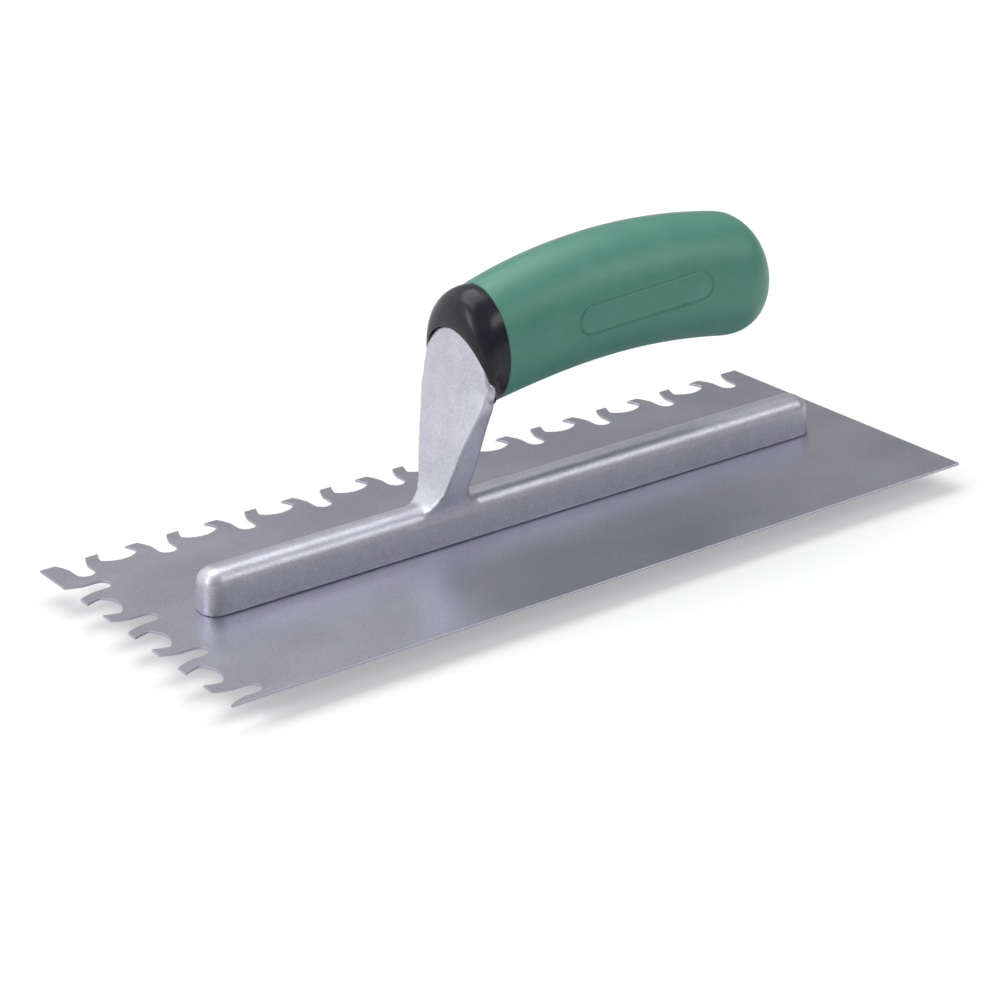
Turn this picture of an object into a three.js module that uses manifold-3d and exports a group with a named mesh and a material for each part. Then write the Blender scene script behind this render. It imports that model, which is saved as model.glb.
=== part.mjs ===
// Notched trowel: a thin spring-steel blade with slots and bowls along one long edge and one short
// end, a cast aluminium mounting (backbone bar, gooseneck shank and tang in one piece), a row of
// flush rivets between the two, and a soft grip over a hard core behind a black collar.
// Millimetres. The origin is the middle of the blade's underside. +X runs along the blade towards
// its plain short end, +Y towards its notched long edge, and +Z up through the grip.

import * as THREE from 'three';
import { mergeVertices } from 'three/addons/utils/BufferGeometryUtils.js';
import Module from 'manifold-3d';

const wasm = await Module();
wasm.setup();

// ---- driving dimensions ----

const gap = 0.3; // clearance between two pieces where one is cut to take the other

// blade
const bladeLength = 279.4;
const bladeWidth = 112;
const bladeThickness = 0.8;

// notches, with the pitch from slot to slot and one bowl midway between each two slots
const notchPitch = 28.575;
const longEdgeInset = 10.35; // first slot of the long edge, from the notched short end
const shortEndInset = 20.6; // first slot of the short end, from the notched long edge
const slot = { halfMouth: 5.2, halfWaist: 3.67, halfWidth: 3.05, flareDepth: 5.6, depth: 12.7 };
const bowl = { halfMouth: 4.75, halfWaist: 5.28, halfWidth: 6.45, flareDepth: 4.95, depth: 7.95 };

// backbone bar of the mounting, lying on the blade's middle line
const barStart = -bladeLength / 2 + 23;
const barEnd = bladeLength / 2 - 19.1;
const barWidth = 13;
const barHeight = 13.3;
const barCorner = 5.3; // corner radius in plan
const barFillet = 4.6; // round along the top edges
const barDraft = 0.07; // side slope, width lost on each side for each millimetre of height

// shank: level sections from the bar up to the round head under the collar
// z above the blade's top face, front and back in X, half width in Y, extra depth of the back
const shankSections = [
  { z: 8.0, front: -42.2, back: -14.5, half: 4.6, rib: 0 },
  { z: 11.0, front: -40.6, back: -16.8, half: 5.3, rib: 0 },
  { z: 13.2, front: -38.0, back: -19.6, half: 6.1, rib: 0 },
  { z: 15.6, front: -35.8, back: -21.6, half: 6.9, rib: 0.2 },
  { z: 18.6, front: -34.3, back: -22.4, half: 7.8, rib: 0.4 },
  { z: 25.0, front: -32.3, back: -22.8, half: 9.7, rib: 1.2 },
  { z: 32.6, front: -29.9, back: -22.8, half: 12.3, rib: 3.0 },
  { z: 40.0, front: -27.5, back: -22.6, half: 14.6, rib: 5.5 },
  { z: 44.6, front: -26.1, back: -21.8, half: 15.9, rib: 6.0 },
  { z: 46.4, front: -25.6, back: -20.4, half: 16.6, rib: 5.0 },
];
const shankSquareness = 6; // superellipse power of the level sections

// head of the shank: an arched shoulder plate that the collar closes on
const headCentreZ = 50.5; // above the blade's top face
const shoulderRadius = 16.8;
const headRise = 17.4;
const headFront = { low: -25.6, high: -23.8 };
const headBack = { low: -20.4, high: -21.6 };

// grip: ovals swept along one arched line in the XZ plane, z above the blade's top face
const gripStart = new THREE.Vector2(-14.3, 60.9);
const gripRise = new THREE.Vector2(14.7, 67.7);
const gripFall = new THREE.Vector2(49.6, 71.8);
const gripEnd = new THREE.Vector2(95.7, 60.0);
const gripHalfHeight = { start: 18.9, middle: 20.3, end: 20.0 };
const gripHalfWidth = { start: 16.3, middle: 18.5, end: 20.4 };
const seamDirection = new THREE.Vector2(1, 0.04).normalize(); // square to the collar's back face
const seamFade = 0.35; // share of the line over which the ovals turn square to it
const tailStart = 0.87; // where the closed round tail begins, as a share of the line
const tailDrop = 5.4; // how far the line has dropped at the very end of the tail
const tailFullness = 2.26; // superellipse power of the closed tail: 2 is a half ellipse
const sleeveWall = 4.5; // rubber over the core
const coreEnd = 0.91; // end of the hard core, as a share of the line

// collar: a moulded hood from the head's rim back to the front of the grip
const rimOverHead = 0.9; // how far its rim stands proud of the head
const rimCentreZ = 50.5;
const rimUp = 18.4;
const rimDown = 7.4;
const rimX = { low: -17.4, high: -25.0 };
const hoodFullness = 2.6; // superellipse power of the hood's swell: 2 is a quarter ellipse

// tang: the part of the mounting inside the collar and the core
const tangRootX = -21.8; // inside the head
const tangFrom = (tangRootX - gripStart.x) / (3 * (gripRise.x - gripStart.x)); // a share of the line
const tangTo = 0.72;
const tangHalfHeight = { root: 11, collar: 9.5, tip: 5 };
const tangHalfWidth = { root: 11, collar: 8, tip: 4.5 };

// rivets
const rivetCount = 9;
const rivetEndInset = 11; // first and last rivet, from the ends of the bar
const rivetHeadRadius = 3.4;
const rivetShankRadius = 2.2;
const rivetReach = 8.2; // height of its top above the blade's top face
const rivetSetBack = 0.05; // its head sits this far inside the blade's underside

// ---- finishes ----

const steel = { color: 0x86868f, roughness: 0.34, metalness: 1 };
const castAluminium = { color: 0xb9b8c2, roughness: 0.42, metalness: 1 };
const rivetSteel = { color: 0x8f9096, roughness: 0.4, metalness: 1 };
const blackPlastic = { color: 0x24242a, roughness: 0.3, metalness: 0 };
const corePlastic = { color: 0x303033, roughness: 0.6, metalness: 0 };
const greenRubber = { color: 0x3f8b6c, roughness: 0.55, metalness: 0 };

// ---- helpers on meshes and solids ----

function mesh(name, geometry, finish) {
  const part = new THREE.Mesh(geometry, new THREE.MeshStandardMaterial(finish));
  part.name = name;
  return part;
}

function toSolid(geometry) {
  const bare = new THREE.BufferGeometry();
  bare.setAttribute('position', geometry.attributes.position.clone());
  if (geometry.index) bare.setIndex(geometry.index.clone());
  const merged = mergeVertices(bare, 1e-4);
  const solidMesh = new wasm.Mesh({
    numProp: 3,
    vertProperties: Float32Array.from(merged.attributes.position.array),
    triVerts: Uint32Array.from(merged.index.array),
  });
  return new wasm.Manifold(solidMesh);
}

function toGeometry(solid) {
  const solidMesh = solid.getMesh();
  const geometry = new THREE.BufferGeometry();
  geometry.setAttribute('position', new THREE.BufferAttribute(solidMesh.vertProperties, 3));
  geometry.setIndex(new THREE.BufferAttribute(solidMesh.triVerts, 1));
  return geometry;
}

// A closed skin over rings of equal length. Each end closes on its own middle point, or on the
// pole that is given for the last ring.
function loft(rings, pole) {
  const count = rings[0].length;
  const middle = (ring) => ring
    .reduce((sum, point) => sum.add(point), new THREE.Vector3())
    .divideScalar(count);
  const points = [...rings.flat(), middle(rings[0]), pole ?? middle(rings.at(-1))];
  const firstPole = points.length - 2;
  const lastPole = points.length - 1;
  const lastRing = (rings.length - 1) * count;
  const index = [];
  for (let k = 0; k < count; k += 1) {
    const next = (k + 1) % count;
    index.push(firstPole, next, k);
    index.push(lastPole, lastRing + k, lastRing + next);
    for (let r = 0; r < rings.length - 1; r += 1) {
      const here = r * count;
      const above = here + count;
      index.push(here + k, here + next, above + next);
      index.push(here + k, above + next, above + k);
    }
  }
  const geometry = new THREE.BufferGeometry().setFromPoints(points);
  geometry.setIndex(index);
  return geometry;
}

// One point of a superellipse of unit size: power 2 is an ellipse, higher powers are squarer.
function superPoint(angle, power) {
  const bend = (v) => Math.sign(v) * Math.abs(v) ** (2 / power);
  return new THREE.Vector2(bend(Math.cos(angle)), bend(Math.sin(angle)));
}

function turn(count) {
  return Array.from({ length: count }, (_, k) => (2 * Math.PI * k) / count);
}

// The quadratic through three values at 0, 1/2 and 1.
function through(first, middle, last, t) {
  return first * (1 - t) * (1 - 2 * t) + middle * 4 * t * (1 - t) + last * t * (2 * t - 1);
}

// ---- blade ----

// Half of each notch's outline bends in to its waist, then runs on to its full width. A slot's
// bottom is a half circle; a bowl's is the arc through its two widest points and its deepest one.
function slotOutline() {
  const bottom = slot.depth - slot.halfWidth;
  const path = new THREE.Path();
  path.moveTo(-slot.halfMouth, 0);
  path.quadraticCurveTo(-slot.halfWaist, slot.flareDepth / 2, -slot.halfWidth, slot.flareDepth);
  path.lineTo(-slot.halfWidth, bottom);
  path.absarc(0, bottom, slot.halfWidth, Math.PI, 0, true);
  path.lineTo(slot.halfWidth, slot.flareDepth);
  path.quadraticCurveTo(slot.halfWaist, slot.flareDepth / 2, slot.halfMouth, 0);
  return path.getPoints(5);
}

function bowlOutline() {
  const rise = bowl.depth - bowl.flareDepth;
  const radius = (bowl.halfWidth ** 2 + rise ** 2) / (2 * rise);
  const centre = bowl.depth - radius;
  const reach = Math.asin(bowl.halfWidth / radius);
  const path = new THREE.Path();
  path.moveTo(-bowl.halfMouth, 0);
  path.quadraticCurveTo(-bowl.halfWaist, bowl.flareDepth / 2, -bowl.halfWidth, bowl.flareDepth);
  path.absarc(0, centre, radius, Math.PI / 2 + reach, Math.PI / 2 - reach, true);
  path.quadraticCurveTo(bowl.halfWaist, bowl.flareDepth / 2, bowl.halfMouth, 0);
  return path.getPoints(4);
}

// The notches of one edge, from its start: [distance along the edge, outline] in order.
// A slot stays whole as long as its narrow part leaves steel at the corner.
function notchesAlong(length, inset) {
  const slots = Math.floor((length - inset - slot.halfMouth) / notchPitch) + 1;
  const notches = [];
  for (let k = 0; k < slots; k += 1) {
    notches.push([inset + k * notchPitch, slotOutline()]);
    if (k < slots - 1) notches.push([inset + (k + 0.5) * notchPitch, bowlOutline()]);
  }
  return notches;
}

function bladeOutline() {
  const endX = bladeLength / 2;
  const endY = bladeWidth / 2;
  const points = [new THREE.Vector2(endX, -endY), new THREE.Vector2(endX, endY)];
  for (const [along, outline] of notchesAlong(bladeLength, longEdgeInset).reverse()) {
    for (const { x, y } of outline) points.push(new THREE.Vector2(-endX + along - x, endY - y));
  }
  points.push(new THREE.Vector2(-endX, endY));
  for (const [along, outline] of notchesAlong(bladeWidth, shortEndInset)) {
    for (const { x, y } of outline) points.push(new THREE.Vector2(-endX + y, endY - along - x));
  }
  points.push(new THREE.Vector2(-endX, -endY));
  return points;
}

function bladeSolid() {
  const shape = new THREE.Shape(bladeOutline());
  const plate = new THREE.ExtrudeGeometry(shape, { depth: bladeThickness, bevelEnabled: false });
  let solid = toSolid(plate);
  for (const x of rivetPlaces()) solid = solid.subtract(toSolid(rivetGeometry(x, gap)));
  return solid;
}

// ---- rivets ----

function rivetPlaces() {
  const first = barStart + rivetEndInset;
  const last = barEnd - rivetEndInset;
  const step = (last - first) / (rivetCount - 1);
  return Array.from({ length: rivetCount }, (_, k) => first + k * step);
}

// A countersunk head in the blade and a plain shank up into the bar. Grown by a clearance, it is
// the hole that takes it, and then its cone runs out past the blade's underside.
function rivetGeometry(x, grow) {
  const low = grow > 0 ? -grow : rivetSetBack;
  const top = bladeThickness + rivetReach + grow;
  const slope = (rivetHeadRadius - rivetShankRadius) / (bladeThickness - rivetSetBack);
  const headRadius = rivetHeadRadius + grow + slope * (rivetSetBack - low);
  const profile = [
    new THREE.Vector2(0, low),
    new THREE.Vector2(headRadius, low),
    new THREE.Vector2(rivetShankRadius + grow, bladeThickness),
    new THREE.Vector2(rivetShankRadius + grow, top),
    new THREE.Vector2(0, top),
  ];
  const geometry = new THREE.LatheGeometry(profile, 16);
  geometry.rotateX(Math.PI / 2);
  geometry.translate(x, 0, 0);
  return geometry;
}

// ---- grip line ----

// The point and direction of the grip's line at a share of its length. It runs on straight
// before its start, through the collar and into the shank's head.
function gripLine(share) {
  const t = Math.max(share, 0);
  const curve = new THREE.CubicBezierCurve(gripStart, gripRise, gripFall, gripEnd);
  const point = curve.getPoint(t);
  const turned = Math.min(t / seamFade, 1);
  const direction = seamDirection.clone().lerp(curve.getTangent(t), turned).normalize();
  if (share < 0) point.addScaledVector(gripRise.clone().sub(gripStart), 3 * share);
  const tail = Math.max((share - tailStart) / (1 - tailStart), 0);
  point.x += direction.y * tailDrop * tail ** 2;
  point.y -= direction.x * tailDrop * tail ** 2;
  return { point, direction };
}

// An oval across the grip's line, standing square to its direction.
function gripRing(share, halfHeight, halfWidth, power, count) {
  const { point, direction } = gripLine(share);
  return turn(count).map((angle) => {
    const oval = superPoint(angle, power);
    return new THREE.Vector3(
      point.x - direction.y * halfHeight * oval.x,
      -halfWidth * oval.y,
      point.y + direction.x * halfHeight * oval.x + bladeThickness,
    );
  });
}

function gripHalf(share) {
  const height = gripHalfHeight;
  const width = gripHalfWidth;
  return {
    height: through(height.start, height.middle, height.end, share),
    width: through(width.start, width.middle, width.end, share),
  };
}

// The grip's outer body, pulled in on every side by a wall, from one share of the line to
// another. Its last stretch closes in a full rounded end.
function gripBody(from, roundFrom, to, wall, count) {
  const rings = [];
  const straight = 11;
  const rounded = 6;
  for (let k = 0; k < straight; k += 1) {
    const share = from + ((roundFrom - from) * k) / straight;
    const half = gripHalf(share);
    rings.push(gripRing(share, half.height - wall, half.width - wall, 2, count));
  }
  for (let k = 0; k < rounded; k += 1) {
    const cap = superPoint((Math.PI / 2) * (k / rounded), tailFullness);
    const share = roundFrom + (to - roundFrom) * cap.y;
    const half = gripHalf(share);
    const height = (half.height - wall) * cap.x;
    const width = (half.width - wall) * cap.x;
    rings.push(gripRing(share, height, width, 2, count));
  }
  const { point } = gripLine(to);
  return toSolid(loft(rings, new THREE.Vector3(point.x, 0, point.y + bladeThickness)));
}

// ---- mounting ----

function barRing(inset, z) {
  const length = barEnd - barStart - 2 * inset;
  const width = barWidth - 2 * inset;
  const radius = Math.max(barCorner - inset, 0.4);
  const steps = 5;
  const points = [];
  for (let corner = 0; corner < 4; corner += 1) {
    const signX = corner === 0 || corner === 3 ? 1 : -1;
    const signY = corner < 2 ? 1 : -1;
    for (let k = 0; k <= steps; k += 1) {
      const angle = (corner + k / steps) * (Math.PI / 2);
      const x = signX * (length / 2 - radius) + radius * Math.cos(angle);
      const y = signY * (width / 2 - radius) + radius * Math.sin(angle);
      points.push(new THREE.Vector3(x + (barStart + barEnd) / 2, y, z + bladeThickness));
    }
  }
  return points;
}

function barSolid() {
  const steps = 5;
  const shoulder = barHeight - barFillet;
  const rings = [barRing(0, 0)];
  for (let k = 0; k <= steps; k += 1) {
    const angle = (Math.PI / 2) * (k / steps);
    const inset = barDraft * shoulder + barFillet * (1 - Math.cos(angle));
    rings.push(barRing(inset, shoulder + barFillet * Math.sin(angle)));
  }
  return toSolid(loft(rings));
}

// A level section of the shank: square-shouldered, with a rib standing out behind its middle.
function shankRing(section, grow) {
  const middle = (section.front + section.back) / 2;
  const halfDepth = (section.back - section.front) / 2 + grow;
  return turn(28).map((angle) => {
    const oval = superPoint(angle, shankSquareness);
    const rib = oval.x > 0 ? section.rib * (1 - oval.y ** 2) * oval.x : 0;
    return new THREE.Vector3(
      middle + halfDepth * oval.x + rib,
      (section.half + grow) * oval.y,
      section.z + bladeThickness,
    );
  });
}

// The head is the arch above the last shank section, in slices that shrink along a quarter
// ellipse. Its front and back lean from their low places to their high ones.
function headSections() {
  const slices = 7;
  const sections = [];
  for (let k = 0; k <= slices; k += 1) {
    const angle = (Math.PI / 2) * (k / slices) * 0.96;
    const lean = Math.sin(angle);
    sections.push({
      z: headCentreZ + headRise * lean,
      front: headFront.low + (headFront.high - headFront.low) * lean,
      back: headBack.low + (headBack.high - headBack.low) * lean,
      half: shoulderRadius * Math.cos(angle),
      rib: 4 * Math.cos(angle),
    });
  }
  return sections;
}

function shankSolid(grow) {
  const sections = [...shankSections, ...headSections()];
  return toSolid(loft(sections.map((section) => shankRing(section, grow))));
}

function tangSolid(grow) {
  const steps = 8;
  const rings = [];
  for (let k = 0; k <= steps; k += 1) {
    const t = k / steps;
    const share = tangFrom + (tangTo - tangFrom) * t + (k === steps ? grow / 100 : 0);
    const height = share < 0 ? blend(tangHalfHeight, share) : taper(tangHalfHeight, share);
    const width = share < 0 ? blend(tangHalfWidth, share) : taper(tangHalfWidth, share);
    rings.push(gripRing(share, height + grow, width + grow, 4, 20));
  }
  return toSolid(loft(rings));
}

function blend(half, share) {
  return half.collar + (half.root - half.collar) * (share / tangFrom);
}

function taper(half, share) {
  return half.collar + (half.tip - half.collar) * (share / tangTo);
}

function mountingSolid() {
  let solid = barSolid().add(shankSolid(0)).add(tangSolid(0));
  for (const x of rivetPlaces()) solid = solid.subtract(toSolid(rivetGeometry(x, gap)));
  return solid;
}

// ---- collar ----

// The hood swells from its rim around the head to the first oval of the grip: its rings leave
// the rim outwards and arrive at the grip along its line, as a quarter of a full oval does.
function collarSolid() {
  const count = 36;
  const steps = 7;
  const half = gripHalf(0);
  const seam = gripRing(0, half.height, half.width, 2, count);
  const halfWidth = shoulderRadius + rimOverHead;
  const rim = turn(count).map((angle) => {
    const up = Math.cos(angle);
    const z = rimCentreZ + up * (up > 0 ? rimUp : rimDown);
    const lean = (z - rimCentreZ + rimDown) / (rimUp + rimDown);
    const x = rimX.low + (rimX.high - rimX.low) * lean;
    return new THREE.Vector3(x, -halfWidth * Math.sin(angle), z + bladeThickness);
  });
  const rings = [];
  for (let k = 0; k <= steps; k += 1) {
    const swell = superPoint((Math.PI / 2) * (k / steps), hoodFullness);
    const outward = k === steps ? 1 : swell.y;
    const onward = k === steps ? 1 : 1 - swell.x;
    rings.push(rim.map((from, n) => new THREE.Vector3(
      from.x + (seam[n].x - from.x) * onward,
      from.y + (seam[n].y - from.y) * outward,
      from.z + (seam[n].z - from.z) * outward,
    )));
  }
  return toSolid(loft(rings)).subtract(shankSolid(gap)).subtract(tangSolid(gap));
}

// ---- grip core and sleeve ----

const gripLength = gripStart.distanceTo(gripEnd);
const gapShare = gap / (3 * gripStart.distanceTo(gripRise)); // the gap behind the collar
const coreRound = coreEnd - 0.1;

function coreBody(grow) {
  const end = coreEnd + grow / gripLength;
  return gripBody(gapShare, coreRound, end, sleeveWall + gap - grow, 24);
}

function coreSolid() {
  return coreBody(0).subtract(tangSolid(gap));
}

function sleeveSolid() {
  return gripBody(gapShare, tailStart, 1, 0, 32).subtract(coreBody(gap));
}

// ---- assembly ----

const trowel = new THREE.Group();
trowel.add(mesh('blade', toGeometry(bladeSolid()), steel));
trowel.add(mesh('mounting', toGeometry(mountingSolid()), castAluminium));
rivetPlaces().forEach((x, k) => {
  trowel.add(mesh(`rivet_${k + 1}`, toGeometry(toSolid(rivetGeometry(x, 0))), rivetSteel));
});
trowel.add(mesh('collar', toGeometry(collarSolid()), blackPlastic));
trowel.add(mesh('grip_core', toGeometry(coreSolid()), corePlastic));
trowel.add(mesh('grip_sleeve', toGeometry(sleeveSolid()), greenRubber));

export default trowel;
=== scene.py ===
import math

import bmesh
import bpy
from mathutils import Matrix, Vector


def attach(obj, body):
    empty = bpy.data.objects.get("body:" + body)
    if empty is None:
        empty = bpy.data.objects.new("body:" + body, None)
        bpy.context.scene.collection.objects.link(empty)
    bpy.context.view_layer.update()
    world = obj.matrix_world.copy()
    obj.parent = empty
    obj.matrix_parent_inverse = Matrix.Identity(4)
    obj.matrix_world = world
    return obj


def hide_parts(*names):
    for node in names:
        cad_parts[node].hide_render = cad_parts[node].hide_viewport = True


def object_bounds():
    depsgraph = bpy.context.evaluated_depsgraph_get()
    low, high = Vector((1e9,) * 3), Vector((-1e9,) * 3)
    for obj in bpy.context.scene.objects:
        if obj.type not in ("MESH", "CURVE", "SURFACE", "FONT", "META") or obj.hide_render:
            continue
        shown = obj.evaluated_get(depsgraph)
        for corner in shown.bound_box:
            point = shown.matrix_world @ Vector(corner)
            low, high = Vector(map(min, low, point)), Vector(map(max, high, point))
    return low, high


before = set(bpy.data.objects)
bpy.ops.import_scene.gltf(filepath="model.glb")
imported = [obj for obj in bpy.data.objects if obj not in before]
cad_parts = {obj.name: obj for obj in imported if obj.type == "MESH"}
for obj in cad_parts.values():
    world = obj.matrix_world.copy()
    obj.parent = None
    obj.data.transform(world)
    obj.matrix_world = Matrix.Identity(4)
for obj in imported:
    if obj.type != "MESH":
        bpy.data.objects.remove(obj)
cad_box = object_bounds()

MM = 0.001

# ---- camera ----
# A long lens on a stand at the notched end, looking down on the trowel from its near side.
# Its place and its turn are fixed numbers in the part's own frame.
camera_place = Vector((-465.25, -625.91, 339.69)) * MM
camera_azimuth = math.radians(-36.21)
camera_height = math.radians(23.17)
camera_roll = math.radians(-0.85)
camera_lens = 96.66  # in millimetres, in front of a sensor 36 mm wide

backward = Vector((
    math.sin(camera_azimuth) * math.cos(camera_height),
    -math.cos(camera_azimuth) * math.cos(camera_height),
    math.sin(camera_height),
))
level_right = (-backward).cross(Vector((0, 0, 1))).normalized()
level_up = level_right.cross(-backward)
right = level_right * math.cos(camera_roll) + level_up * math.sin(camera_roll)
up = level_up * math.cos(camera_roll) - level_right * math.sin(camera_roll)
turned = Matrix((right, up, backward)).transposed().to_4x4()

camera_data = bpy.data.cameras.new("camera")
camera_data.lens = camera_lens
camera_data.sensor_width = 36
camera_data.clip_start = 0.01
camera_data.clip_end = 40
camera = bpy.data.objects.new("camera", camera_data)
camera.matrix_world = Matrix.Translation(camera_place) @ turned
bpy.context.scene.collection.objects.link(camera)
bpy.context.scene.camera = camera
bpy.context.scene.view_settings.view_transform = "Standard"

# ---- studio ----
# A pale sweep of card under an overhead softbox, with a bright wall to the far left and a dimmer
# room on the near side. The card shows white and keeps the shadow.


class Wire:
    """One output of a shader tree, on which Python's arithmetic adds Math nodes."""

    def __init__(self, finish, socket):
        self.finish = finish
        self.socket = socket

    def maths(self, operation, first, second=0.0):
        return self.finish.node("ShaderNodeMath", {"operation": operation}, {0: first, 1: second})

    def __add__(self, other):
        return self.maths("ADD", self, other)

    __radd__ = __add__

    def __sub__(self, other):
        return self.maths("SUBTRACT", self, other)

    def __rsub__(self, other):
        return self.maths("SUBTRACT", other, self)

    def __mul__(self, other):
        return self.maths("MULTIPLY", self, other)

    __rmul__ = __mul__

    def __abs__(self):
        return self.maths("ABSOLUTE", self)

    def over(self, low, high):
        """0 below low, 1 above high, and smooth between them."""
        span = {"Value": self, "From Min": low, "From Max": high}
        return self.finish.node("ShaderNodeMapRange", {"interpolation_type": "SMOOTHSTEP"}, span)


class Finish:
    """A shader tree: of a new material, or of the world."""

    def __init__(self, owner):
        self.owner = owner
        owner.use_nodes = True
        self.tree = owner.node_tree
        self.tree.nodes.clear()

    def node(self, kind, settings=None, values=None, out=0):
        made = self.tree.nodes.new(kind)
        for name, value in (settings or {}).items():
            setattr(made, name, value)
        for name, value in (values or {}).items():
            if isinstance(value, Wire):
                self.tree.links.new(value.socket, made.inputs[name])
            else:
                made.inputs[name].default_value = value
        return Wire(self, made.outputs[out]) if len(made.outputs) else made

    def place(self, stretch=(1, 1, 1), turn=(0, 0, 0)):
        """Object coordinates in millimetres, divided by a stretch along each axis."""
        point = self.node("ShaderNodeTexCoord", out="Object")
        scale = [1000 / s for s in stretch]
        values = {"Vector": point, "Scale": scale, "Rotation": turn}
        return self.node("ShaderNodeMapping", {}, values)

    def grain(self, size, detail=3.0, stretch=(1, 1, 1), turn=(0, 0, 0)):
        """Noise whose lumps are about size millimetres, times the stretch, across."""
        values = {"Vector": self.place(stretch, turn), "Scale": 1 / size, "Detail": detail}
        return self.node("ShaderNodeTexNoise", {}, values)

    def mix(self, share, first, second):
        values = {0: share, 6: first, 7: second}
        return self.node("ShaderNodeMix", {"data_type": "RGBA"}, values, 2)

    def bump(self, height, distance_mm, strength=1.0, under=None):
        values = {"Height": height, "Distance": distance_mm * MM, "Strength": strength}
        if under is not None:
            values["Normal"] = under
        return self.node("ShaderNodeBump", {}, values)

    def surface(self, **values):
        """Closes a material with the standard shader; spaces in socket names are underscores."""
        named = {name.replace("_", " "): value for name, value in values.items()}
        shader = self.node("ShaderNodeBsdfPrincipled", {}, named)
        self.node("ShaderNodeOutputMaterial", {}, {"Surface": shader})
        return self.owner


card_grey = (0.78, 0.78, 0.78, 1)
card_white = (0.57, 0.57, 0.57, 1)  # with the glow, the lit card is white for the camera
card_glow = 0.32
card_far_glow = 0.40  # added where the lamps no longer reach, so that the card stays white
card_size = 9.0
card_drop = 8 * MM

card = Finish(bpy.data.materials.new("white_card"))
seen_by_camera = card.node("ShaderNodeLightPath", out="Is Camera Ray")
seen_in_metal = card.node("ShaderNodeLightPath", out="Is Glossy Ray")
seen_through = card.node("ShaderNodeLightPath", out="Is Transmission Ray")
seen = (seen_by_camera + seen_in_metal + seen_through).over(0.0, 1.0)
paper_colour = card.mix(seen, card_grey, card_white)
paper = card.node("ShaderNodeBsdfDiffuse", {}, {"Color": paper_colour})
from_middle = card.node("ShaderNodeVectorMath", {"operation": "LENGTH"}, {0: card.place()}, "Value")
glow_level = seen * (from_middle.over(300, 1100) * card_far_glow + card_glow)
glow = card.node("ShaderNodeEmission", {}, {"Color": (1, 1, 1, 1), "Strength": glow_level})
lit_card = card.node("ShaderNodeAddShader", {}, {0: paper, 1: glow})
card.node("ShaderNodeOutputMaterial", {}, {"Surface": lit_card})

floor_form = bmesh.new()
bmesh.ops.create_grid(floor_form, x_segments=1, y_segments=1, size=card_size)
bmesh.ops.translate(floor_form, verts=floor_form.verts, vec=(0, 0, cad_box[0][2] - card_drop))
floor_mesh = bpy.data.meshes.new("floor")
floor_form.to_mesh(floor_mesh)
floor_form.free()
floor_mesh.materials.append(card.owner)
floor = bpy.data.objects.new("floor", floor_mesh)
bpy.context.scene.collection.objects.link(floor)

room_base = 0.32
room_left = 0.86  # extra light from the wall to the far left
room_top = 0.20
left_wall = Vector((-0.74, 0.64, 0.12)).normalized()

room = Finish(bpy.data.worlds.new("room"))
bpy.context.scene.world = room.owner
toward = room.node("ShaderNodeTexCoord", out="Generated")
facing = room.node(
    "ShaderNodeVectorMath", {"operation": "DOT_PRODUCT"}, {0: toward, 1: left_wall}, "Value"
)
height = room.node("ShaderNodeSeparateXYZ", {}, {"Vector": toward}, "Z")
level = facing.over(0.1, 0.95) * room_left + height.over(0.0, 0.9) * room_top + room_base
at_camera = room.node("ShaderNodeLightPath", out="Is Camera Ray")
strength = level * (1 - at_camera) + at_camera
sky = room.node("ShaderNodeBackground", {}, {"Color": (1, 1, 1, 1), "Strength": strength})
room.node("ShaderNodeOutputWorld", {}, {"Surface": sky})


def softbox(name, place, aim, width, length, power):
    data = bpy.data.lights.new(name, "AREA")
    data.shape = "RECTANGLE"
    data.size = width
    data.size_y = length
    data.energy = power
    lamp = bpy.data.objects.new(name, data)
    lamp.location = place
    lamp.rotation_euler = (Vector(aim) - Vector(place)).to_track_quat("-Z", "Y").to_euler()
    bpy.context.scene.collection.objects.link(lamp)


softbox("overhead_softbox", (-0.05, 0.40, 1.20), (0, 0, 0), 1.4, 0.9, 10)
softbox("near_softbox", (0.62, -0.72, 0.80), (0, 0, 0.05), 0.9, 0.25, 2.8)
softbox("left_softbox", (-1.5, 0.25, 0.75), (0, 0, 0.04), 0.5, 0.9, 5)

# ---- blade ----
# Thin spring steel, rolled and ground lengthwise, with slots and bowls punched along one long
# edge and one short end. Countersunk holes under the bar take the rivets.
blade_length = 279.4
blade_width = 112.0
blade_thick = 0.8
notch_pitch = 28.575
long_inset = 10.35
end_inset = 20.6
cut_glint = 0.07
steel_face = (0.480, 0.474, 0.555, 1)
steel_dull = (0.370, 0.366, 0.432, 1)
steel_cut = (0.42, 0.41, 0.47, 1)

# half of a notch, from its mouth inwards: distance from its middle, depth, and how far that
# stretch of the outline bows out of the straight
slot_half = [(5.2, 0, 0), (3.05, 5.6, 0.21), (3.05, 9.65, 0)]
slot_bottom = 3.05
bowl_half = [(4.75, 0, 0), (6.45, 4.95, 0.15)]
bowl_bottom = 3.0
rivet_count = 9
rivet_first = -105.7
rivet_last = 109.6
rivet_hole = 3.6


def draw(form, pen, target, bow, steps):
    """Carries the outline from its last vertex to a target, straight or along an arc."""
    span = target - pen.co
    if abs(bow) < 1e-6:
        made = bmesh.ops.extrude_vert_indiv(form, verts=[pen])
        made["verts"][0].co = target
        return made["verts"][0]
    half = span.length / 2
    radius = (half * half + bow * bow) / (2 * bow)
    side = Vector((-span.y, span.x, 0)).normalized()
    centre = pen.co + span / 2 + side * (radius - bow)
    angle = 2 * math.asin(max(-1.0, min(1.0, half / radius)))
    made = bmesh.ops.spin(
        form, geom=[pen], cent=centre, axis=(0, 0, 1), dvec=(0, 0, 0), angle=angle, steps=steps
    )
    return [part for part in made["geom_last"] if isinstance(part, bmesh.types.BMVert)][0]


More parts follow.
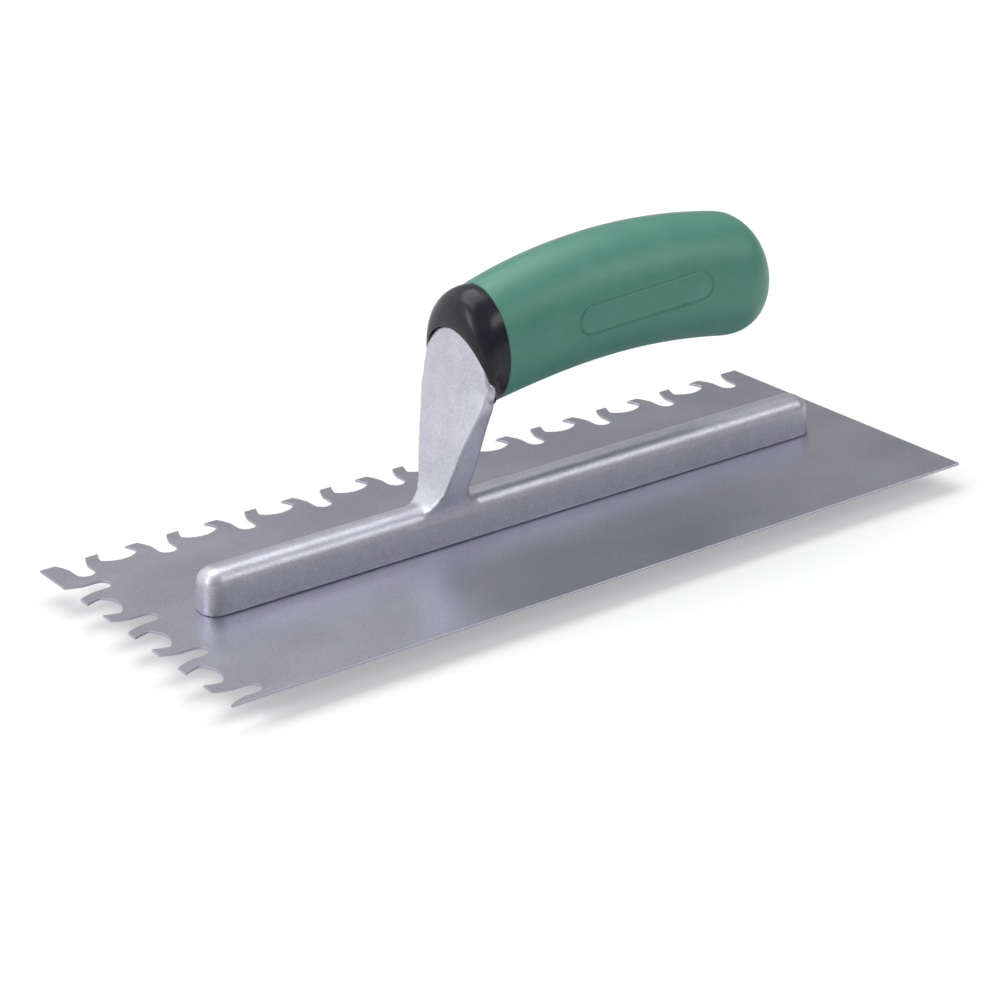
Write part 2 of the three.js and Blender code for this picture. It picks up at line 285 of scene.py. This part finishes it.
def draw_notch(form, pen, corner, walk, inward, along, half, bottom):
    """One notch, walked with the steel on the left: in along one side and out along the other."""
    def spot(across, depth):
        return corner + walk * ((along + across) * MM) + inward * (depth * MM)

    pen = draw(form, pen, spot(-half[0][0], half[0][1]), 0, 1)
    for across, depth, bow in half[1:]:
        sign = 1 if across > half[0][0] else -1
        pen = draw(form, pen, spot(-across, depth), sign * -bow * MM, 5)
    pen = draw(form, pen, spot(half[-1][0], half[-1][1]), -bottom * MM, 18)
    for k in range(len(half) - 1, 0, -1):
        sign = 1 if half[k][0] > half[0][0] else -1
        pen = draw(form, pen, spot(half[k - 1][0], half[k - 1][1]), sign * -half[k][2] * MM, 5)
    return pen


def draw_edge(form, pen, corner, walk, inward, length, inset, from_far_end):
    count = int((length - inset - slot_half[0][0]) / notch_pitch) + 1
    places = [(inset + k * notch_pitch, slot_half, slot_bottom) for k in range(count)]
    places += [
        (inset + (k + 0.5) * notch_pitch, bowl_half, bowl_bottom) for k in range(count - 1)
    ]
    if from_far_end:
        places = [(length - along, half, bottom) for along, half, bottom in places]
    for along, half, bottom in sorted(places, key=lambda place: place[0]):
        pen = draw_notch(form, pen, corner, walk, inward, along, half, bottom)
    return pen


def finish_mesh(form, name, material, nodes):
    """Turns a finished form into a piece of the trowel that rides on its one body."""
    data = bpy.data.meshes.new(name)
    form.to_mesh(data)
    form.free()
    data.materials.append(material)
    piece = bpy.data.objects.new(name, data)
    bpy.context.scene.collection.objects.link(piece)
    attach(piece, "root")
    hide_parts(*nodes)
    return piece


def soften(form, sharp_degrees):
    """Smooth shading, with the edges that turn by more than an angle kept sharp."""
    for face in form.faces:
        face.smooth = True
    for edge in form.edges:
        edge.smooth = len(edge.link_faces) == 2 and (
            edge.calc_face_angle(0.0) < math.radians(sharp_degrees)
        )


half_x = blade_length / 2 * MM
half_y = blade_width / 2 * MM
plate = bmesh.new()
start = plate.verts.new((half_x, -half_y, 0))
tip = draw(plate, start, Vector((half_x, half_y, 0)), 0, 1)
tip = draw_edge(
    plate, tip, Vector((half_x, half_y, 0)), Vector((-1, 0, 0)), Vector((0, -1, 0)),
    blade_length, long_inset, True,
)
tip = draw(plate, tip, Vector((-half_x, half_y, 0)), 0, 1)
tip = draw_edge(
    plate, tip, Vector((-half_x, half_y, 0)), Vector((0, -1, 0)), Vector((1, 0, 0)),
    blade_width, end_inset, False,
)
tip = draw(plate, tip, Vector((-half_x, -half_y, 0)), 0, 1)
draw(plate, tip, Vector((half_x, -half_y, 0)), 0, 1)
bmesh.ops.remove_doubles(plate, verts=plate.verts, dist=1e-6)
rivet_places = [
    rivet_first + k * (rivet_last - rivet_first) / (rivet_count - 1) for k in range(rivet_count)
]
for x in rivet_places:
    bmesh.ops.create_circle(
        plate, segments=48, radius=rivet_hole * MM, matrix=Matrix.Translation((x * MM, 0, 0))
    )
bmesh.ops.triangle_fill(plate, use_beauty=True, use_dissolve=False, edges=plate.edges)
raised = bmesh.ops.extrude_face_region(plate, geom=plate.faces[:])
lifted = [part for part in raised["geom"] if isinstance(part, bmesh.types.BMVert)]
bmesh.ops.translate(plate, verts=lifted, vec=(0, 0, blade_thick * MM))
bmesh.ops.recalc_face_normals(plate, faces=plate.faces)
rim_edges = [
    edge for edge in plate.edges
    if len(edge.link_faces) == 2 and edge.calc_face_angle(0.0) > math.radians(80)
    and abs(edge.verts[0].co.z - edge.verts[1].co.z) < 1e-6
]
bmesh.ops.bevel(
    plate, geom=rim_edges, offset=cut_glint * MM, offset_type="OFFSET", segments=1,
    affect="EDGES", profile=0.5, material=-1,
)
soften(plate, 30)

steel = Finish(bpy.data.materials.new("ground_steel"))
rolled = steel.grain(0.22, 2.0, (60, 1, 1))
cloud = steel.grain(26, 3.0, (1.6, 1, 1))
fine = steel.grain(0.35, 2.0, (9, 1, 1))
normal = steel.node("ShaderNodeNewGeometry", out="Normal")
tilt = steel.node("ShaderNodeSeparateXYZ", {}, {"Vector": normal}, "Z")
cut = 1 - abs(tilt).over(0.35, 0.75)
fleck = steel.grain(0.7, 3.0)
shade = cloud.over(0.35, 0.7) * 0.4 + rolled * 0.2 + fleck.over(0.36, 0.60) * 0.55
face_colour = steel.mix(shade, steel_dull, steel_face)
steel_rough = 0.23 + rolled * 0.08 + cloud * 0.06 + fleck * 0.10 + cut * 0.20
steel.surface(
    Base_Color=steel.mix(cut, face_colour, steel_cut),
    Metallic=1.0,
    Roughness=steel_rough,
    Normal=steel.bump(fine, 0.02, 0.16),
)
finish_mesh(plate, "notched_blade", steel.owner, ["blade"])

# ---- rivets ----
# Flush steel rivets, set from the blade's underside up into the bar. Each has a countersunk head
# that shows as a faint disc in the underside.
rivet_colour = (0.46, 0.455, 0.50, 1)
rivet_half = [(0, 0.05), (3.3, 0.05), (3.4, 0.12), (2.2, 0.8), (2.2, 8.7), (1.9, 9.0), (0, 9.0)]

rivet_finish = Finish(bpy.data.materials.new("rivet_head"))
rivet_scuff = rivet_finish.grain(0.7, 3.0)
rivet_finish.surface(
    Base_Color=rivet_finish.mix(rivet_scuff.over(0.3, 0.7), steel_dull, rivet_colour),
    Metallic=1.0,
    Roughness=0.34 + rivet_scuff * 0.14,
    Normal=rivet_finish.bump(rivet_scuff, 0.03, 0.3),
)
for number, x in enumerate(rivet_places, 1):
    rivet = bmesh.new()
    line = [rivet.verts.new((radius * MM, 0, z * MM)) for radius, z in rivet_half]
    edges = [rivet.edges.new(pair) for pair in zip(line, line[1:])]
    bmesh.ops.spin(
        rivet, geom=line + edges, cent=(0, 0, 0), axis=(0, 0, 1), dvec=(0, 0, 0),
        angle=2 * math.pi, steps=40, use_merge=True,
    )
    bmesh.ops.remove_doubles(rivet, verts=rivet.verts, dist=1e-6)
    bmesh.ops.recalc_face_normals(rivet, faces=rivet.faces)
    bmesh.ops.translate(rivet, verts=rivet.verts, vec=(x * MM, 0, 0))
    soften(rivet, 30)
    finish_mesh(
        rivet, f"flush_rivet_{number}", rivet_finish.owner, [f"rivet_{number}"]
    )

# ---- mounting ----
# One aluminium casting: the bar along the blade, the broad shank that rises from it, the arched
# head under the collar and the tang inside the grip. Its edges are all cast soft.
bar_start = -116.7
bar_end = 120.6
bar_wide = 13.0
bar_high = 13.3
bar_corner = 5.3
bar_round = 4.6
bar_draft = 0.07
blade_top = blade_thick
cast_voxel = 0.5
aluminium = (0.555, 0.549, 0.622, 1)
aluminium_dull = (0.440, 0.435, 0.500, 1)
# the paler colour that the casting takes on its convex edges and ridges
aluminium_pale_edge = (0.66, 0.655, 0.72, 1)

# level sections of the shank: z above the blade, front and back in X, half width, how far the rib
# stands out behind, and how far the front falls back at its sides
shank_levels = [
    (8.0, -43.0, -15.4, 4.2, 0, 0), (11.0, -40.4, -18.4, 5.1, 0, 0),
    (13.2, -37.2, -21.2, 5.8, 0, 0), (15.6, -34.8, -22.9, 6.6, 0.2, 0),
    (18.6, -33.2, -23.7, 7.6, 0.4, 0),
    (25.0, -31.5, -22.6, 9.5, 1.2, 0), (32.6, -29.6, -21.8, 11.6, 3.0, 0.1),
    (40.0, -27.5, -21.3, 14.0, 5.5, 0.4), (44.6, -26.5, -20.8, 15.7, 6.0, 1.0),
    (47.5, -26.0, -20.4, 16.3, 5.0, 1.5), (50.5, -25.6, -20.2, 16.3, 4.0, 2.0),
]
shank_steps = 34
shank_corner = 0.6
head_base = 50.5
head_rise = 17.4
head_half = 16.2
head_fullness = 2.25
head_front = (-25.6, 1.8)  # its middle at the base, and how far it leans back by the top
head_back = (-20.2, -1.2)
head_bow = 2.0  # how far the front falls back at its sides
head_heel = 2.4  # how far its back comes forward again below the base
# the head's skin from the middle of its front round to its back: size, and share of its depth
head_skin = [
    (0.02, 0), (0.25, 0), (0.5, 0), (0.75, 0), (0.9, 0), (0.965, 0), (0.99, 0.05), (1.0, 0.18),
    (1.0, 0.85), (0.96, 1.0),
]
ear_place = (-21.7, 15.9, 50.9)
ear_size = (1.8, 1.6, 3.4)
# the tang's sections: x and z above the blade of its middle, half height and half width
tang_levels = [
    (-21.8, 60.2, 11, 11), (-14.3, 61.7, 9.5, 8), (4, 65.5, 8.6, 7.2),
    (28, 69.0, 7.4, 6.2), (52, 69.9, 5.9, 5.2), (63, 69.2, 5.2, 4.6),
]
foot_reach = (-44, -14)  # in X, where the shank's foot is worn round
foot_rise = (9.5, 17.5)
skin_rubs = 3
foot_rubs = 14


def slide(levels, z):
    """The values at a height between two levels, on a smooth curve through all of them."""
    k = max(1, min(len(levels) - 1, sum(1 for level in levels if level[0] < z)))
    before, after = levels[k - 1], levels[k]
    earlier = levels[max(k - 2, 0)]
    later = levels[min(k + 1, len(levels) - 1)]
    t = (z - before[0]) / (after[0] - before[0])
    values = []
    for n in range(1, len(before)):
        step = after[0] - before[0]
        slope_in = (after[n] - earlier[n]) / max(after[0] - earlier[0], 1e-6) * step
        slope_out = (later[n] - before[n]) / max(later[0] - before[0], 1e-6) * step
        values.append(
            before[n] * (2 * t**3 - 3 * t**2 + 1) + slope_in * (t**3 - 2 * t**2 + t)
            + after[n] * (3 * t**2 - 2 * t**3) + slope_out * (t**3 - t**2)
        )
    return values


def shank_ring(form, z, front, back, half, rib, bow, corner):
    """A level rounded rectangle at a height. Its back swells over the rib; its front is bowed."""
    made = bmesh.ops.create_grid(form, x_segments=1, y_segments=14, size=0.5)
    ring = made["verts"]
    for vert in ring:
        behind = vert.co.x > 0
        across = 2 * vert.co.y
        deep = back + rib * (1 - across * across) if behind else front + bow * across * across
        vert.co = Vector((deep, half * across, z + blade_top)) * MM
    faces = {face for vert in ring for face in vert.link_faces}
    bmesh.ops.delete(form, geom=list(faces), context="FACES_ONLY")
    inside = [
        edge for vert in ring for edge in vert.link_edges
        if edge.is_valid and abs(edge.verts[0].co.y) < half * MM * 0.999
        and abs(edge.verts[0].co.y - edge.verts[1].co.y) < 1e-9
    ]
    bmesh.ops.delete(form, geom=list(set(inside)), context="EDGES_FACES")
    tips = [vert for vert in ring if abs(abs(vert.co.y) - half * MM) < 1e-7]
    rounded = bmesh.ops.bevel(
        form, geom=tips, offset=corner * MM, offset_type="OFFSET", segments=4,
        affect="VERTICES", profile=0.5, material=-1,
    )
    kept = [vert for vert in ring if vert.is_valid] + rounded["verts"]
    return {edge for vert in kept for edge in vert.link_edges}


def bridge(form, rings):
    """A closed skin over the rings, with a face across each end."""
    for low, high in zip(rings, rings[1:]):
        bmesh.ops.bridge_loops(form, edges=list(low | high))
    for ring in (rings[0], rings[-1]):
        bmesh.ops.contextual_create(form, geom=list(ring))


casting = bmesh.new()
bar_length = bar_end - bar_start
bar = bmesh.ops.create_cube(casting, size=1)["verts"]
bmesh.ops.scale(casting, verts=bar, vec=(bar_length * MM, bar_wide * MM, bar_high * MM))
upright = [
    edge for edge in casting.edges if abs(edge.verts[0].co.z - edge.verts[1].co.z) > 1e-6
]
bmesh.ops.bevel(
    casting, geom=upright, offset=bar_corner * MM, offset_type="OFFSET", segments=10,
    affect="EDGES", profile=0.5, material=-1,
)
top = [vert for vert in casting.verts if vert.co.z > 0]
draft = 2 * bar_draft * bar_high
bmesh.ops.scale(
    casting, verts=top, vec=((bar_length - draft) / bar_length, (bar_wide - draft) / bar_wide, 1)
)
crown = [edge for edge in casting.edges if all(vert.co.z > 0 for vert in edge.verts)]
bmesh.ops.bevel(
    casting, geom=crown, offset=bar_round * MM, offset_type="OFFSET", segments=8,
    affect="EDGES", profile=0.5, material=-1,
)
bar_middle = Vector(((bar_start + bar_end) / 2, 0, blade_top + bar_high / 2)) * MM
bmesh.ops.translate(casting, verts=casting.verts, vec=bar_middle)

rings = []
shank_foot = shank_levels[0][0]
for step in range(shank_steps + 1):
    z = shank_foot + (head_base - shank_foot) * step / shank_steps
    rings.append(shank_ring(casting, z, *slide(shank_levels, z), shank_corner))
bridge(casting, rings)

# the arched head: an upright oval plate, leaning back a little, with its lower half in the shank
plate_rings = []
for spread, share in head_skin:
    made = bmesh.ops.create_circle(casting, segments=96, radius=spread)["verts"]
    for vert in made:
        across, rise = vert.co.x, vert.co.y
        size = (abs(across) ** head_fullness + abs(rise) ** head_fullness) ** (1 / head_fullness)
        across, rise = across * spread / size, rise * spread / size
        above = max(rise, 0)
        front = head_front[0] + head_front[1] * rise + head_bow * across * across
        back = head_back[0] + head_back[1] * above - head_heel * max(-rise, 0)
        vert.co = Vector((
            front + (back - front) * share,
            head_half * across,
            head_base + head_rise * rise + blade_top,
        )) * MM
    plate_rings.append({edge for vert in made for edge in vert.link_edges})
bridge(casting, plate_rings)
for side in (-1, 1):
    ear = bmesh.ops.create_icosphere(casting, subdivisions=3, radius=1)["verts"]
    bmesh.ops.scale(casting, verts=ear, vec=Vector(ear_size) * MM)
    place = Vector((ear_place[0], side * ear_place[1], ear_place[2] + blade_top)) * MM
    bmesh.ops.translate(casting, verts=ear, vec=place)

# the tang: a tapering squared bar along the grip's line
tang_rings = []
for x, z, high, wide in tang_levels:
    made = bmesh.ops.create_circle(casting, segments=32, radius=1)["verts"]
    bmesh.ops.scale(casting, verts=made, vec=(high * MM, wide * MM, 1))
    on_end = Matrix.Rotation(math.pi / 2, 3, "Y")
    bmesh.ops.rotate(casting, verts=made, cent=(0, 0, 0), matrix=on_end)
    bmesh.ops.translate(casting, verts=made, vec=Vector((x, 0, z)) * MM)
    tang_rings.append({edge for vert in made for edge in vert.link_edges})
bridge(casting, tang_rings)
bmesh.ops.recalc_face_normals(casting, faces=casting.faces)

# the separate forms are fused into one skin, and the corner where the shank leaves the bar is
# worn round
rough_mesh = bpy.data.meshes.new("rough_casting")
casting.to_mesh(rough_mesh)
casting.free()
rough = bpy.data.objects.new("rough_casting", rough_mesh)
bpy.context.scene.collection.objects.link(rough)
fuse = rough.modifiers.new("fuse", "REMESH")
fuse.mode = "VOXEL"
fuse.voxel_size = cast_voxel * MM
bpy.context.view_layer.update()
depsgraph = bpy.context.evaluated_depsgraph_get()
fused = bpy.data.meshes.new_from_object(rough.evaluated_get(depsgraph))
bpy.data.objects.remove(rough)
bpy.data.meshes.remove(rough_mesh)
casting = bmesh.new()
casting.from_mesh(fused)
bpy.data.meshes.remove(fused)


def rub(form, verts, times, amount=0.5):
    for _ in range(times):
        bmesh.ops.smooth_vert(
            form, verts=verts, factor=amount, use_axis_x=True, use_axis_y=True, use_axis_z=True
        )


above = [vert for vert in casting.verts if vert.co.z > (blade_top + 0.6) * MM]
rub(casting, above, skin_rubs)
foot = [
    vert for vert in casting.verts
    if foot_reach[0] * MM < vert.co.x < foot_reach[1] * MM
    and foot_rise[0] * MM < vert.co.z < foot_rise[1] * MM
]
rub(casting, foot, foot_rubs)
bmesh.ops.recalc_face_normals(casting, faces=casting.faces)
soften(casting, 180)

metal = Finish(bpy.data.materials.new("cast_metal"))
skin = metal.grain(0.6, 3.0)
speck = metal.grain(0.42, 1.0)
mottle = metal.grain(6.0, 4.0)
stroke = metal.grain(0.5, 2.0, (1, 14, 1), (0.35, 0, 0.2))
dull = (1 - mottle.over(0.36, 0.62)) * 0.3 + skin.over(0.38, 0.62) * 0.6
# The colour turns paler on the casting's convex edges and ridges, where the surface is most
# pointed.
convexity = metal.node("ShaderNodeNewGeometry", out="Pointiness")
convex_edge_share = convexity.over(0.52, 0.60)
metal_shade = metal.mix(dull, aluminium, aluminium_dull)
metal.surface(
    Base_Color=metal.mix(convex_edge_share * 0.6, metal_shade, aluminium_pale_edge),
    Metallic=1.0,
    Roughness=0.35 + skin * 0.12 + stroke * 0.06,
    Normal=metal.bump(speck, 0.06, 0.45, metal.bump(skin, 0.12, 0.45)),
)
finish_mesh(casting, "cast_mounting", metal.owner, ["mounting"])

# ---- grip line ----
# The collar and the grip are ovals that stand across one arched line. The line is a Bezier curve
# in the upright plane of the bar, with z above the blade.
line_points = [
    Vector((-14.3, 60.9)), Vector((14.7, 67.7)), Vector((49.6, 71.8)), Vector((95.7, 60.0)),
]
half_heights = (18.9, 20.3, 20.0)
half_widths = (16.3, 18.5, 20.4)
seam_direction = Vector((1, 0.04)).normalized()
seam_fade = 0.35
tail_start = 0.87
tail_drop = 5.4
tail_power = 2.26


def through(values, t):
    first, middle, last = values
    return first * (1 - t) * (1 - 2 * t) + middle * 4 * t * (1 - t) + last * t * (2 * t - 1)


def grip_line(t):
    """The line's point and the direction that an oval there stands square to."""
    a, b, c, d = line_points
    s = 1 - t
    point = a * s**3 + b * 3 * s * s * t + c * 3 * s * t * t + d * t**3
    tangent = ((b - a) * s * s + (c - b) * 2 * s * t + (d - c) * t * t).normalized()
    direction = seam_direction.lerp(tangent, min(t / seam_fade, 1)).normalized()
    tail = max((t - tail_start) / (1 - tail_start), 0)
    point += Vector((direction.y, -direction.x)) * tail_drop * tail**2
    return point, direction


def oval_point(t, angle, size=1.0, proud=0.0):
    """A point of the oval at t. Angle 0 is its top, and a quarter turn is the near side."""
    point, direction = grip_line(t)
    high = through(half_heights, t) * size + proud
    wide = through(half_widths, t) * size + proud
    rise = high * math.cos(angle)
    return Vector((
        point.x - direction.y * rise,
        -wide * math.sin(angle),
        point.y + direction.x * rise + blade_top,
    )) * MM


# ---- collar ----
# A glossy black moulded hood. It closes on the head with a thin rim, swells back to the width of
# the grip, and turns in at the seam.
rim_half = 16.9
rim_centre = 50.5
rim_up = 18.4
rim_down = 7.4
rim_low_x = -17.4
rim_high_x = -25.0
rim_bow = -4.6  # how much further forward the rim swings between its foot and its top
hood_power = 2.6
hood_steps = 22
hood_around = 120
hood_lip = 0.9
hood_wall = 2.6
hood_black = (0.010, 0.010, 0.016, 1)
hood_scuffed = (0.014, 0.014, 0.021, 1)


def rim_point(angle, inset):
    rise = math.cos(angle)
    z = rim_centre + rise * ((rim_up if rise > 0 else rim_down) - inset)
    lean = (z - rim_centre + rim_down) / (rim_up + rim_down)
    x = rim_low_x + (rim_high_x - rim_low_x) * lean + rim_bow * lean * (1 - lean)
    return Vector((x, -(rim_half - inset) * math.sin(angle), z + blade_top)) * MM


def hood_ring(form, around, onward, outward, inset):
    """A ring of the hood: from the rim, so far onward along the grip and so far outward."""
    made = bmesh.ops.create_circle(form, segments=around, radius=1)["verts"]
    for vert in made:
        angle = math.atan2(vert.co.y, vert.co.x)
        rim = rim_point(angle, inset)
        seam = oval_point(0, angle, 1, -inset)
        vert.co = Vector((
            rim.x + (seam.x - rim.x) * onward,
            rim.y + (seam.y - rim.y) * outward,
            rim.z + (seam.z - rim.z) * outward,
        ))
    return {edge for vert in made for edge in vert.link_edges}


def hood_swell(k):
    """How far along and how far out the hood has come at a step from its rim."""
    angle = math.pi / 2 * k / hood_steps
    onward = 1 - max(math.cos(angle), 0) ** (2 / hood_power)
    return onward, math.sin(angle) ** (2 / hood_power)


hood = bmesh.new()
whole = [hood_ring(hood, hood_around, *hood_swell(k), 0) for k in range(hood_steps + 1)]
for k in range(hood_steps, -1, -1):
    onward, swell = hood_swell(k)
    wall = hood_lip + (hood_wall - hood_lip) * swell
    whole.append(hood_ring(hood, hood_around, onward, swell, wall))
for low, high in zip(whole, whole[1:] + whole[:1]):
    bmesh.ops.bridge_loops(hood, edges=list(low | high))
bmesh.ops.recalc_face_normals(hood, faces=hood.faces)
soften(hood, 50)

gloss = Finish(bpy.data.materials.new("gloss_hood"))
scuff = gloss.grain(3.2, 4.0)
haze = gloss.grain(0.6, 2.0)
gloss.surface(
    Base_Color=gloss.mix(scuff.over(0.45, 0.7), hood_black, hood_scuffed),
    Roughness=0.20 + scuff * 0.06,
    Specular_IOR_Level=0.28,
    Normal=gloss.bump(haze, 0.004, 0.10),
)
finish_mesh(hood, "hood_collar", gloss.owner, ["collar"])

# ---- grip core ----
# The hard plastic body that is moulded round the tang. The sleeve hides all of it, so the plain
# solid stays and only takes its finish.
core = Finish(bpy.data.materials.new("core_moulding"))
core_grain = core.grain(0.8, 2.0)
core_colour = core.mix(core_grain, (0.025, 0.025, 0.027, 1), (0.04, 0.04, 0.043, 1))
core.surface(Base_Color=core_colour, Roughness=0.6 + core_grain * 0.1)
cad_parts["grip_core"].data.materials.clear()
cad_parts["grip_core"].data.materials.append(core.owner)

# ---- grip sleeve ----
# Soft green rubber, one piece closed at the tail, pulled over the core. A parting line from its
# mould runs along the top, and a plain long outline is pressed into the near side.
seam_gap = 0.3
line_speed = 87.0  # millimetres of the grip line for one unit of t, near the seam
sleeve_wall = 4.3
badge_middle = (37.5, 67.5)  # in X, and in z above the blade
badge_tilt = math.radians(3.8)
badge_half = 25.7
badge_round = 4.75
badge_depth = 0.5
badge_line = 0.40
parting_high = 0.10
parting_half = 0.35
parting_radius = 19  # of the grip where the mould line runs
rubber = (0.053, 0.212, 0.152, 1)
rubber_pale = (0.068, 0.240, 0.176, 1)
rubber_deep = (0.042, 0.178, 0.126, 1)


def spaced(stops):
    """Values from the first stop on, with each stretch divided at its own step."""
    values = [stops[0][0]]
    for (low, step), (high, _) in zip(stops, stops[1:]):
        count = max(1, round((high - low) / step))
        values += [low + (high - low) * (k + 1) / count for k in range(count)]
    return values


shares = spaced([(seam_gap / line_speed, 0.008), (0.17, 0.0027), (0.78, 0.008), (tail_start, 1)])
tail_steps = 16
sizes = [1.0] * len(shares)
for k in range(1, tail_steps + 1):
    angle = math.pi / 2 * k / tail_steps
    shares.append(tail_start + (1 - tail_start) * math.sin(angle) ** (2 / tail_power))
    sizes.append(max(math.cos(angle), 0.0) ** (2 / tail_power))
turns = spaced([
    (-180, 0.8), (-176, 4), (-4, 0.8), (4, 4), (56, 0.8), (120, 4), (176, 0.8), (180, 1),
])


def badge_press(t, angle):
    """How deep the outline is pressed in at a place of the near side."""
    if math.sin(angle) <= 0.3:
        return 0.0
    place = oval_point(t, angle) / MM
    x, z = place.x - badge_middle[0], place.z - blade_top - badge_middle[1]
    along = x * math.cos(badge_tilt) + z * math.sin(badge_tilt)
    across = z * math.cos(badge_tilt) - x * math.sin(badge_tilt)
    reach = max(abs(along) - (badge_half - badge_round), 0)
    off = abs(math.hypot(reach, across) - badge_round)
    return badge_depth * max(0.0, 1 - (off / badge_line) ** 2) ** 1.5


def parting(angle):
    """How far the mould line stands proud at an angle."""
    off = abs(math.sin(angle)) * parting_radius
    return parting_high * max(0.0, 1 - (off / parting_half) ** 2)


sleeve = bmesh.new()
bmesh.ops.create_grid(sleeve, x_segments=len(shares) - 1, y_segments=len(turns) - 1, size=1)
for vert in sleeve.verts:
    row = round((vert.co.x + 1) / 2 * (len(shares) - 1))
    column = round((vert.co.y + 1) / 2 * (len(turns) - 1))
    share, size, angle = shares[row], sizes[row], math.radians(turns[column])
    proud = (parting(angle) - badge_press(share, angle)) * size
    vert.co = oval_point(share, angle, size, proud)
bmesh.ops.remove_doubles(sleeve, verts=sleeve.verts, dist=1e-5)
bmesh.ops.recalc_face_normals(sleeve, faces=sleeve.faces)
for face in sleeve.faces:
    face.smooth = True

skin_finish = Finish(bpy.data.materials.new("green_rubber"))
bloom = skin_finish.grain(9.0, 4.0)
pores = skin_finish.grain(0.45, 2.0)
smudge = skin_finish.grain(2.6, 3.0, (3, 1, 1))
pale = bloom.over(0.42, 0.68)
tint = skin_finish.mix(pale * 0.55, rubber, rubber_pale)
tint = skin_finish.mix(smudge.over(0.55, 0.75) * 0.35, tint, rubber_deep)
skin_finish.surface(
    Base_Color=tint,
    Roughness=0.34 + bloom * 0.12 + pores * 0.05,
    Specular_IOR_Level=0.55,
    Normal=skin_finish.bump(pores, 0.04, 0.22, skin_finish.bump(smudge, 0.2, 0.06)),
)
grip = finish_mesh(sleeve, "rubber_sleeve", skin_finish.owner, ["grip_sleeve"])
wall = grip.modifiers.new("wall", "SOLIDIFY")
wall.thickness = sleeve_wall * MM
wall.offset = -1
wall.use_even_offset = False
